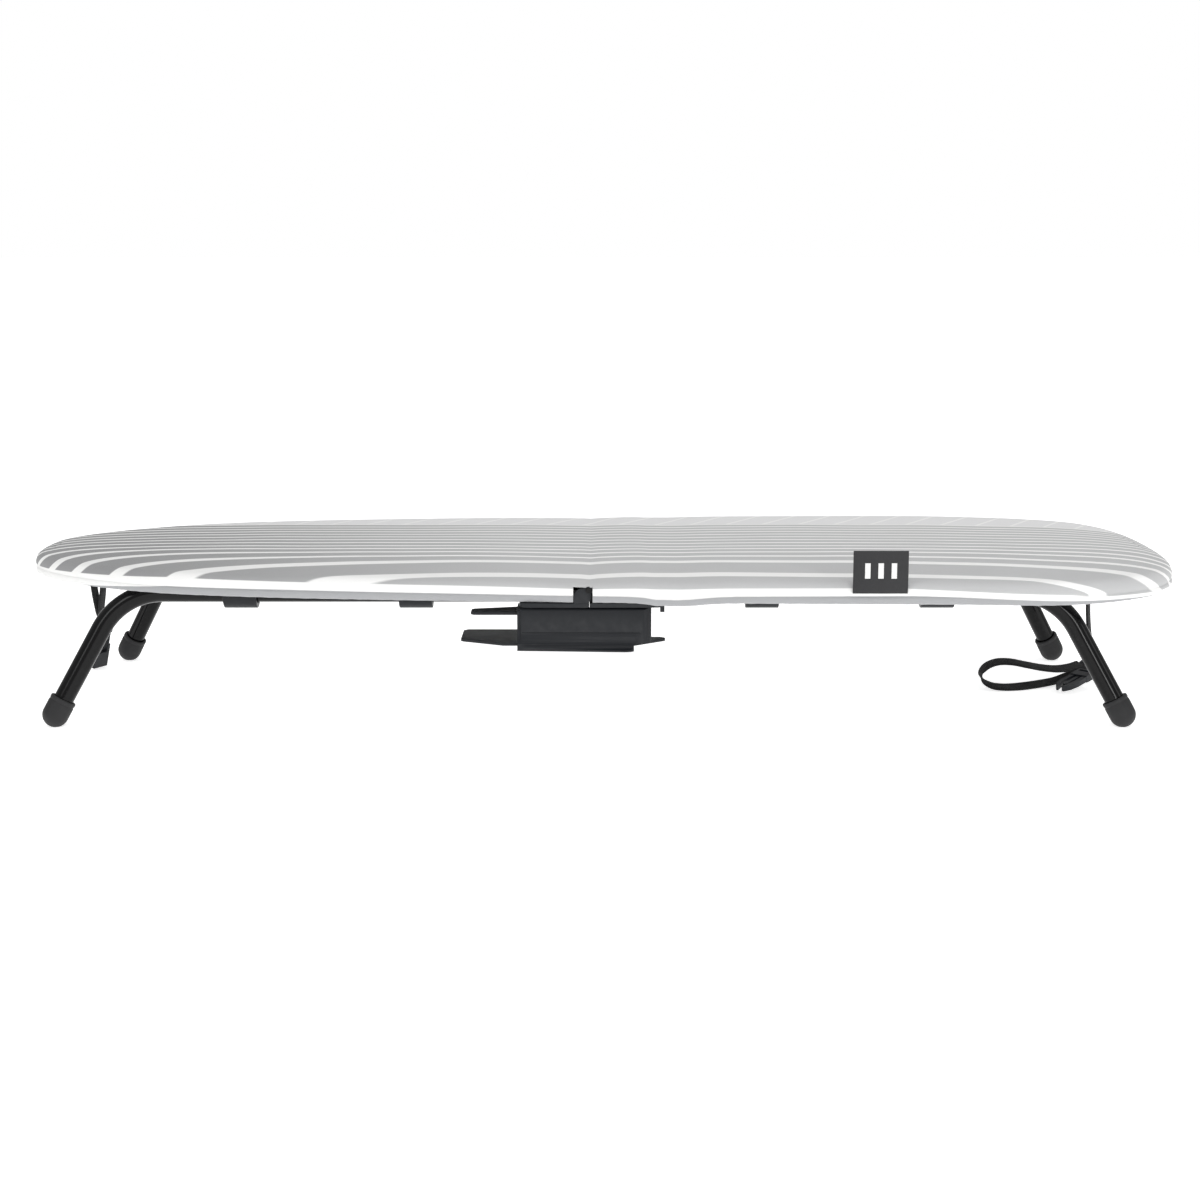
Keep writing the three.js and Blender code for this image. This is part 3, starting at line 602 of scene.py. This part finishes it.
LEFT_TUCK = [*LEFT_STRAP[-2:], (-0.3716, 0.0726, 0.0295)]  # the end that goes into the socket
LEFT_ACROSS = Vector((0.15, 0.99, 0))
RIGHT_ACROSS = Vector((0.45, 0.9, 0))
LOOP_ACROSS = Vector((0, 0.95, 0.25))


def strand(name, centres, across, body, extra_width=0.0, extra_thickness=0.0):
    """A piece of webbing that belongs to a strap and isn't a CAD piece of its own."""
    width, thickness = WEBBING_WIDTH + extra_width, WEBBING_THICKNESS + extra_thickness
    piece = band(name, centres, across, width, thickness, webbing)
    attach(piece, body)
    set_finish(piece, "black_webbing")
    return piece


def strap(node, points, across, holders, **facts):
    centres = catmull_rom([place(*p) for p in points], 5)
    piece = band("webbing_" + node, centres, across, WEBBING_WIDTH, WEBBING_THICKNESS, webbing)
    stands_for(piece, node)
    return piece


left_socket = dressed("left_buckle_socket", plastic, 0.0007)
right_adjuster = dressed("right_strap_adjuster", plastic, 0.0005)
right_plug = dressed("right_buckle_plug", plastic, 0.0005)
left_return = strand(
    "webbing_left_return", catmull_rom([place(*p) for p in LEFT_STRAP_RETURN], 6), LEFT_ACROSS,
    "left_half",
)
left_end = strand(
    "webbing_left_end", [place(*p) for p in LEFT_TUCK], LEFT_ACROSS, "left_half",
    extra_width=0.0004, extra_thickness=0.0012,
)
right_return = strand(
    "webbing_right_return", catmull_rom([place(*p) for p in RIGHT_STRAP_RETURN], 6), RIGHT_ACROSS,
    "right_half",
)
strap("left_strap", LEFT_STRAP, LEFT_ACROSS, [left_socket, left_return, left_end], lay="hanging")
strap("right_strap", RIGHT_STRAP, RIGHT_ACROSS, [right_adjuster, right_return], lay="hanging")
strap("right_strap_loop", FLOOR_LOOP, LOOP_ACROSS, [right_plug], lay="loose")

# ---------------------------------------------------------------- cover

NOTCH_X = (-0.010, 0.0026)  # opening in the near and far skirt around the hinge
NOTCH_TOP = 0.1032
GROOVE_DEPTH = 0.0018
GROOVE_LEFT = 0.095  # how far it reaches from the fold
GROOVE_RIGHT = 0.046
GROOVE_SHARE = [(0.0, 1.0), (0.25, 0.7), (0.5, 0.45), (0.8, 0.45), (1.0, 0.55)]  # of it, near to far
CREASE_DEPTH = 0.0003
CREASE_HALF_WIDTH = 0.004
# Where the slack hem hangs down: x, half width and depth of each sag.
HEM_SAGS = [(0.058, 0.020, 0.0021), (0.318, 0.055, 0.0016), (0.043, 0.005, 0.0006)]
GATHER_PITCH = 0.0085  # along the hem
GATHER_LIFT = 0.0007
SKIRT_LOW_Z = 0.097  # the edge follows the groove more and more from here up
COVER_THICKNESS = 0.0007

# Across the edge: inset from the outline and height.
EDGE_SECTION = [
    (0.0125, 0.0942), (0.0100, 0.0936), (0.0075, 0.0933), (0.0050, 0.0931), (0.0030, 0.0930),
    (0.0015, 0.0931), (0.0006, 0.0935), (0.0002, 0.0943), (0.0000, 0.0955), (0.0000, 0.0967),
    (0.0003, 0.0977), (0.0007, 0.0981), (0.0004, 0.0987), (0.0001, 0.1000), (0.0002, 0.1015),
    (0.0006, 0.1032), (0.0014, 0.1047), (0.0028, 0.1060), (0.0048, 0.1069), (0.0075, 0.1073),
    (0.0110, 0.1074),
]
ACROSS = 60
LIP_POINTS = 6
HEM_POINTS = 12  # section points on the turned-in lip and the hem below its seam

# Along x, the heights of two lines round the edge. The grey hem ends at its seam, and the white edge above
# it ends at its top. Both sink toward the two ends, and a little toward the fold.
SEAM_KNOTS = [
    (-0.395, 0.092), (-0.36, 0.0925), (-0.28, 0.0985), (-0.20, 0.099), (0.05, 0.0975),
    (0.21, 0.099), (0.35, 0.095), (0.406, 0.0925),
]
WHITE_TOP_KNOTS = [
    (-0.395, 0.0995), (-0.28, 0.1045), (0.05, 0.103), (0.20, 0.104), (0.31, 0.099), (0.406, 0.095),
]


def near_edge():
    """The near half of the outline from the left tip to the right end, as an array of x and y."""
    near = [Vector((x, -w, 0)) for x, w in EDGE_POINTS]
    far = [Vector((x, w, 0)) for x, w in EDGE_POINTS[-2:0:-1]]
    steps = 40
    curve = catmull_rom(near + far, steps, closed=True)
    half = curve[: (len(near) - 1) * steps + 1]
    return np.array([(p.x, p.y) for p in half])


def stations(edge):
    """Where the cover's cross-sections start: points on the near edge with their inward normals."""
    run = np.concatenate([[0], np.cumsum(np.hypot(*np.diff(edge, axis=0).T))])
    tangent = np.gradient(edge, run, axis=0)
    tangent /= np.linalg.norm(tangent, axis=1)[:, None]
    fine = np.arange(-0.016, 0.0161, 0.001)
    middle = np.concatenate([
        np.arange(-0.300, -0.060, 0.005), np.arange(-0.060, -0.016, 0.0025), fine,
        np.arange(0.0185, 0.060, 0.0025), np.arange(0.060, 0.3001, 0.005), NOTCH_X,
    ])
    middle = np.unique(middle.round(5))
    at = np.interp(middle, edge[:, 0], run)
    left_end, right_end = at[0], at[-1]
    ends = 46
    left = left_end * np.linspace(0, 1, ends, endpoint=False)
    right = right_end + (run[-1] - right_end) * np.linspace(0, 1, ends)[1:]
    at = np.concatenate([left, at, right])
    points = np.stack([np.interp(at, run, edge[:, k]) for k in (0, 1)], axis=1)
    along = np.stack([np.interp(at, run, tangent[:, k]) for k in (0, 1)], axis=1)
    along[0] = (0, -1)
    along[-1] = (0, 1)
    normal = np.stack([-along[:, 1], along[:, 0]], axis=1)
    return at, points, normal


# The first white lines: height over the near edge at the middle, half width, and how far left and right
# each reaches, with the squareness of its corner there. Metres.
WIDE_LINES = [
    (0.031, 0.0080, 0.192, 2.0, 0.302, 2.1), (0.085, 0.0050, 0.275, 2.6, 0.363, 3.1),
    (0.108, 0.0027, 0.317, 4.0, 0.383, 3.8), (0.126, 0.0024, 0.346, 5.5, 0.389, 5.0),
    (0.141, 0.0022, 0.366, 7.0, 0.394, 5.5),
]
# The fine lines beyond them, of one width, close up slowly and reach a little farther each time.
FINE_LINES = 9
FINE_START = 0.154
FINE_SPACING = 0.0152
FINE_CLOSING = 0.00018  # for the square of the line's place
FINE_HALF_WIDTH = 0.0020
FINE_REACH = {"left": (0.384, 0.410, 7.5), "right": (0.398, 0.411, 7.0)}  # first, last, squareness


def fine_line(k):
    """One row like those of WIDE_LINES."""
    height = FINE_START + FINE_SPACING * k - FINE_CLOSING * k**2
    row = [height, FINE_HALF_WIDTH]
    for side in ("left", "right"):
        first, last, corner = FINE_REACH[side]
        row += [first + (last - first) * math.sqrt(k / (FINE_LINES - 1)), corner]
    return tuple(row)


LINES = WIDE_LINES + [fine_line(k) for k in range(FINE_LINES)]
# How far the lines lean outward for each metre that they go down the near side. On the right it depends
# on the height over the near edge.
LEAN_HEIGHT = (0.0, 0.02, 0.1)
LEAN_LEFT = 1.2
LEAN_RIGHT = (5.5, 2.0, 1.2)
PATTERN_Y = -0.160
LEVELS = (0.001, 0.4)  # lowest and highest height of the pattern
GAP_BEFORE = 0.056  # below the first line
GAP_AFTER = 0.015  # above the last


def line_field(x, y):
    """The pattern's line number at each point, and half a line's width in the same measure."""
    table = np.array(LINES)
    lowest, highest = LEVELS
    levels = np.concatenate([[lowest], table[:, 0], [highest]])
    reach = {}
    for name, column, low, high in (("left", 2, 0.12, 0.43), ("right", 4, 0.27, 0.43)):
        reach[name] = np.concatenate([[low], table[:, column], [high]])
        reach[name + " corner"] = np.concatenate(
            [[table[0, column + 1]], table[:, column + 1], [table[-1, column + 1]]]
        )
    height = np.maximum(y - PATTERN_Y, 1e-5)
    low, high = np.full_like(x, lowest), np.full_like(x, highest)
    for _ in range(30):
        middle = (low + high) / 2
        parts = {}
        for name in ("left", "right"):
            size = np.interp(middle, levels, reach[name])
            corner = np.interp(middle, levels, reach[name + " corner"])
            parts[name] = (np.abs(x) / size) ** corner + (height / middle) ** corner
        outside = np.where(x < 0, parts["left"], parts["right"]) > 1
        low = np.where(outside, middle, low)
        high = np.where(outside, high, middle)
    level = (low + high) / 2
    numbers = np.arange(len(LINES), dtype=float)
    spacing = np.diff(table[:, 0])
    bounds = np.concatenate([[table[0, 0] - GAP_BEFORE], table[:, 0], [table[-1, 0] + GAP_AFTER]])
    number = np.interp(level, bounds, np.concatenate([[-1.0], numbers, [len(LINES)]]))
    gap_start = np.clip(np.floor(number).astype(int), -1, len(LINES) - 1)
    gaps = np.concatenate([[GAP_BEFORE], spacing, [GAP_AFTER]])[gap_start + 1]
    nearest = np.clip(np.round(number).astype(int), 0, len(LINES) - 1)
    return number, table[nearest, 1] / gaps


def groove(x):
    """How far the cover sinks over the fold at the near edge: gently on the left, steeply on the right."""
    reach = GROOVE_LEFT if x < 0 else GROOVE_RIGHT
    wide = max(0.0, 1 - abs(x) / reach) ** 1.7
    return GROOVE_DEPTH * wide + CREASE_DEPTH * math.exp(-((x / CREASE_HALF_WIDTH) ** 2))


def hem_sag(x):
    """How far the slack hem hangs down, just right of the fold and toward the right end."""
    return sum(depth * math.exp(-(((x - at) / reach) ** 2)) for at, reach, depth in HEM_SAGS)


def edge_share(z):
    """How much of the groove the edge follows at a height: none at the hem, all of it at the top."""
    return min(max((z - SKIRT_LOW_Z) / (TOP_Z - SKIRT_LOW_Z), 0), 1)


def cover_chain(run, point, normal):
    """One cross-section, from the near turned-in hem over the top to the far one."""
    edge_points, heights = [], []
    for i, (inset, height) in enumerate(EDGE_SECTION):
        on_hem = i < HEM_POINTS
        wobble = noise.noise(Vector((run * 90, i * 0.13, 1.7)))
        wander = 2.5 * noise.noise(Vector((run * 25, 3, 0)))
        ripple = math.sin(run * 2 * math.pi / GATHER_PITCH + wander)
        on_lip = max(0.0, (LIP_POINTS - i) / LIP_POINTS)
        inset_here = inset + 0.00022 * wobble * (1.0 if on_hem else 0.35) - 0.00012 * ripple * on_hem
        z = height + GATHER_LIFT * on_lip * ripple - hem_sag(point[0]) * (1 if on_hem else 0.3)
        z -= groove(point[0]) * edge_share(height)
        x = point[0] + normal[0] * inset_here
        y = point[1] + normal[1] * inset_here
        edge_points.append((x, y, z))
        heights.append(height if i >= LIP_POINTS else 0.09)
    x, y, z = edge_points[-1]
    chain = list(edge_points)
    spans, shares = zip(*GROOVE_SHARE)
    for k in range(1, ACROSS):
        t = k / ACROSS
        across = y * (1 - 2 * t)
        crown = 0.0003 * math.sin(math.pi * t)
        swell = 0.00025 * noise.noise(Vector((x * 14, across * 14, 0.4)))
        shallower = groove(x) * (1 - np.interp(t, spans, shares))
        chain.append((x, across, z + crown + swell + shallower))
    far_rise = groove(x) * (1 - GROOVE_SHARE[-1][1])
    for px, py, pz in reversed(edge_points):
        chain.append((px, -py, pz + far_rise * edge_share(pz)))
    height_chain = heights + [TOP_Z + 0.004] * (ACROSS - 1) + heights[::-1]
    return chain, height_chain


def build_cover():
    edge = near_edge()
    at, points, normals = stations(edge)
    vertices, heights = [], []
    for run, point, normal in zip(at, points, normals):
        chain, height_chain = cover_chain(run, point, normal)
        vertices += chain
        heights += height_chain
    size = len(vertices) // len(points)
    notch_low = next(i for i, section in enumerate(EDGE_SECTION) if section[1] > NOTCH_TOP)
    faces = []
    for i in range(len(points) - 1):
        middle_x = (points[i][0] + points[i + 1][0]) / 2
        in_notch = NOTCH_X[0] < middle_x < NOTCH_X[1]
        for k in range(size - 1):
            if in_notch and (k < notch_low or k >= size - 1 - notch_low):
                continue
            a = i * size + k
            b = a + size
            faces.append([a, b, b + 1, a + 1])
    cover = new_object("cover", [place(*v) for v in vertices], faces, cotton)
    mesh = cover.data
    coordinates = np.array(vertices)
    wave_x = np.array([0.0011 * noise.noise(Vector((x * 22, y * 8, 2.2))) for x, y, _ in vertices])
    x, y = coordinates[:, 0], coordinates[:, 1]
    drop = np.clip(TOP_Z - np.array(heights), 0, 0.012) * (y < 0)
    lean_right = np.interp(y - PATTERN_Y, LEAN_HEIGHT, LEAN_RIGHT)
    printed_x = x - np.where(x < 0, -LEAN_LEFT, lean_right) * drop
    number, half = line_field(printed_x, y + wave_x)
    below_hem = np.interp(coordinates[:, 0], *zip(*SEAM_KNOTS)) - np.array(heights)
    below_edge = np.interp(coordinates[:, 0], *zip(*WHITE_TOP_KNOTS)) - np.array(heights)
    for name, values in (
        ("line_number", number), ("line_half_width", half),
        ("below_hem_line", below_hem), ("below_edge_line", below_edge),
    ):
        mesh.attributes.new(name, "FLOAT", "POINT").data.foreach_set("value", values)
    plan = mesh.uv_layers.new(name="plan")
    for loop in mesh.loops:
        plan.data[loop.index].uv = coordinates[loop.vertex_index][:2]
    bm = bmesh.new()
    bm.from_mesh(mesh)
    bmesh.ops.remove_doubles(bm, verts=bm.verts, dist=2e-5)
    bmesh.ops.recalc_face_normals(bm, faces=bm.faces)
    top = max(bm.faces, key=lambda f: f.calc_center_median().z)
    if top.normal.z < 0:
        bmesh.ops.reverse_faces(bm, faces=bm.faces)
    bmesh.ops.solidify(bm, geom=bm.faces[:], thickness=COVER_THICKNESS)
    bm.to_mesh(mesh)
    bm.free()
    mesh.polygons.foreach_set("use_smooth", [True] * len(mesh.polygons))
    return cover


cover = build_cover()
cover["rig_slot"] = "striped_cotton"
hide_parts("left_cover", "right_cover")
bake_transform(cover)

# ---------------------------------------------------------------- pad and steelwork

for side_name, side in SIDES:
    pad = dressed(side_name + "_pad", felt, 0.0012)
    dressed(side_name + "_mesh_panel", steel_paint, 0.0002, 2)
    for clip_name, _ in CLIPS:
        dressed(side_name + "_crossbar_" + clip_name, steel_paint, 0.0004)

# ---------------------------------------------------------------- hinges and lock

for edge_name, _ in EDGES:
    for side_name, _ in SIDES:
        dressed("hinge_bracket_%s_%s" % (edge_name, side_name), plastic, 0.0004)
    dressed("hinge_pin_" + edge_name, enamel, 0.0003)
dressed("lock_rail", plastic, 0.0004)
dressed("lock_keeper", plastic, 0.0004)
dressed("lock_slider", plastic, 0.0006)

# ---------------------------------------------------------------- legs

LEG_Y = 0.094
LEG_Z = 0.0893
LEG_R = 0.0067
LEG_BORE = 0.0056
RUN_START = 0.050
LINE_X = 0.3173
BEND_R = 0.047
FOOT = Vector((0.361, 0.1103, 0.0082))
CLIP_WIDTH = 0.0225
BAR_LOW_Z = 0.0965


def leg_points(side, edge):
    """The leg's centre line, and its direction down to the foot."""
    corner = Vector((side * LINE_X, edge * LEG_Y, LEG_Z))
    foot = Vector((side * FOOT.x, edge * FOOT.y, FOOT.z))
    down = (foot - corner).normalized()
    inward = Vector((-side, 0, 0))
    half_angle = inward.angle(down) / 2
    tangent = BEND_R / math.tan(half_angle)
    bend_start = corner + inward * tangent
    bend_end = corner + down * tangent
    centre = corner + (inward + down).normalized() * (BEND_R / math.sin(half_angle))
    start = Vector((side * RUN_START, edge * LEG_Y, LEG_Z))
    points = [start]
    steps = 28
    points += [start.lerp(bend_start, k / 10) for k in range(1, 10)]
    first, last = bend_start - centre, bend_end - centre
    turn, axis = first.angle(last), first.cross(last).normalized()
    for k in range(steps + 1):
        points.append(centre + Matrix.Rotation(turn * k / steps, 3, axis) @ first)
    points += [bend_end.lerp(foot - down * 0.001, k / 5) for k in range(1, 6)]
    return points, down


def foot_profile():
    """Rubber cap from its rounded sole to the lip round the tube."""
    r, rim = 0.00885, 0.0120
    profile = [(0.0, -r)]
    for k in range(1, 13):
        angle = k / 12 * math.pi / 2
        profile.append((r * math.sin(angle), -r * math.cos(angle)))
    profile += [
        (r, 0.0080), (r - 0.0003, 0.0087), (r - 0.0003, 0.0092), (r, 0.0097), (r, rim - 0.0008),
        (r - 0.0003, rim - 0.0002), (r - 0.0009, rim), (0.0073, rim), (0.0070, rim - 0.0004),
        (0.0070, 0.0003), (0.0, 0.0003),
    ]
    return profile


def cut_below_floor(obj):
    bm = bmesh.new()
    bm.from_mesh(obj.data)
    geometry = bm.verts[:] + bm.edges[:] + bm.faces[:]
    cut = bmesh.ops.bisect_plane(
        bm, geom=geometry, plane_co=(0, 0, 0), plane_no=(0, 0, -1), clear_outer=True
    )
    rim = [e for e in cut["geom_cut"] if isinstance(e, bmesh.types.BMEdge)]
    bmesh.ops.contextual_create(bm, geom=rim)
    bm.to_mesh(obj.data)
    bm.free()
    return obj


def clip_outline(side_x, edge):
    """The saddle clip's section across the tube."""
    top = BAR_LOW_Z - 0.0003
    outer, bore, flange_y, flange_t = 0.0107, 0.0072, 0.024, 0.0028
    arc = 24
    section = [(-LEG_Y - outer, top)]
    for k in range(arc + 1):
        angle = math.pi + math.pi * k / arc
        section.append((-LEG_Y + outer * math.cos(angle), LEG_Z + outer * math.sin(angle)))
    section += [
        (-LEG_Y + outer, top - flange_t - 0.0012), (-LEG_Y + outer + 0.0012, top - flange_t),
        (-LEG_Y + flange_y, top - flange_t), (-LEG_Y + flange_y, top), (-LEG_Y + bore, top),
    ]
    for k in range(arc + 1):
        angle = -math.pi * k / arc
        section.append((-LEG_Y + bore * math.cos(angle), LEG_Z + bore * math.sin(angle)))
    section.append((-LEG_Y - bore, top))
    return [place(side_x, -edge * y, z) for y, z in section]


for side_name, side in SIDES:
    for edge_name, edge in EDGES:
        where = edge_name + "_" + side_name
        centres, down = leg_points(side, edge)
        leg = tube(
            "enamelled_leg_" + where, [place(*p) for p in centres], LEG_R, LEG_BORE, enamel
        )
        stands_for(leg, "leg_tube_" + where)
        foot_at = place(side * FOOT.x, edge * FOOT.y, FOOT.z)
        cap = turned("rubber_foot_" + where, foot_profile(), foot_at, -down, rubber, 48)
        bevel(cut_below_floor(cap), 0.0002, 2, 40)
        stands_for(cap, "leg_foot_" + where)
        dressed("leg_plug_" + where, plastic, 0.0004)
        dressed("leg_stop_" + where, zinc, 0.0003)
        for clip_name, clip_x in CLIPS:
            clip_place = where + "_" + clip_name
            ends = (Vector((-CLIP_WIDTH / 2, 0, 0)), Vector((CLIP_WIDTH / 2, 0, 0)))
            clip = prism("clip_" + clip_place, clip_outline(side * clip_x, edge), ends, plastic)
            bevel(clip, 0.0006, 3, 40)
            stands_for(clip, "leg_clip_" + clip_place)
            dressed("clip_screw_" + clip_place, zinc, 0.0003)

# ---------------------------------------------------------------- tag

TAG_WIDTH = 0.0354
TAG_THICKNESS = 0.00035
TAG_X = 0.1875


def tag_route():
    """The ribbon's path: up in front, over its fold, and down behind the cover's edge."""
    front = [(-0.1643, 0.1006), (-0.1647, 0.1030), (-0.1651, 0.1080), (-0.1653, 0.1150),
             (-0.1652, 0.1220), (-0.1650, 0.1265)]
    top = [(-0.1648, 0.1278), (-0.1644, 0.1282), (-0.1640, 0.1277)]
    back = [(-0.1640, 0.1262), (-0.1642, 0.1220), (-0.1644, 0.1150), (-0.1643, 0.1080),
            (-0.1639, 0.1030), (-0.1637, 0.1008)]
    return [place(TAG_X, y, z) for y, z in front + top + back]


tag_centres = catmull_rom(tag_route(), 6)
tag = band("blank_tag", tag_centres, Vector((1, 0, 0)), TAG_WIDTH, TAG_THICKNESS, tag_fabric)
stands_for(tag, "cover_tag")
MOTIF_X = (-0.0085, 0.0, 0.0085)  # three pale woven bars, in place of any lettering
BAR_ROUTE = [(-0.16555, 0.1105), (-0.16565, 0.115), (-0.16555, 0.1205)]
BAR_WIDTH = 0.0035
BAR_THICKNESS = 0.00025
for i, offset in enumerate(MOTIF_X):
    bar_centres = catmull_rom([place(TAG_X + offset, y, z) for y, z in BAR_ROUTE], 6)
    bar = band(
        "tag_bar_%d" % (i + 1), bar_centres, Vector((1, 0, 0)), BAR_WIDTH, BAR_THICKNESS, pale_thread
    )
    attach(bar, "right_half")
    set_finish(bar, "tag_fabric")

# ---------------------------------------------------------------- floor and light

floor = new_object(
    "floor", [(-30, -30, 0), (30, -30, 0), (30, 30, 0), (-30, 30, 0)], [[0, 1, 2, 3]],
    floor_finish(), smooth=False,
)

WORLD_LIGHT = 0.5  # of the white backdrop, where the world lights the object
world = bpy.data.worlds.new("studio")
world.use_nodes = True
sky = world.node_tree
glow = sky.nodes["Background"]
glow.inputs["Color"].default_value = (1, 1, 1, 1)
glow.inputs["Strength"].default_value = WORLD_LIGHT
backdrop = sky.nodes.new("ShaderNodeBackground")
backdrop.inputs["Color"].default_value = (1, 1, 1, 1)
seen = sky.nodes.new("ShaderNodeLightPath")
choice = sky.nodes.new("ShaderNodeMixShader")
sky.links.new(seen.outputs["Is Camera Ray"], choice.inputs[0])
sky.links.new(glow.outputs[0], choice.inputs[1])
sky.links.new(backdrop.outputs[0], choice.inputs[2])
sky.links.new(choice.outputs[0], sky.nodes["World Output"].inputs[0])
bpy.context.scene.world = world
bpy.context.scene.view_settings.view_transform = "Standard"


def softbox(name, location, aim, size, power):
    data = bpy.data.lights.new(name, "AREA")
    data.shape = "RECTANGLE"
    data.size, data.size_y = size
    data.energy = power
    lamp = bpy.data.objects.new(name, data)
    lamp.location = location
    lamp.rotation_euler = (Vector(aim) - Vector(location)).to_track_quat("-Z", "Y").to_euler()
    bpy.context.scene.collection.objects.link(lamp)


softbox("overhead", (0.2, -0.3, 1.9), (0, 0, 0.1), (2.2, 1.4), 17)
softbox("front left", (-1.3, -1.7, 1.1), (0, 0, 0.08), (0.5, 1.0), 6)
softbox("right", (1.7, -0.7, 0.9), (0.2, 0, 0.08), (0.5, 1.2), 3)
softbox("low right", (0.75, -1.65, 0.37), (0.34, -0.1, 0.05), (0.26, 0.6), 5)
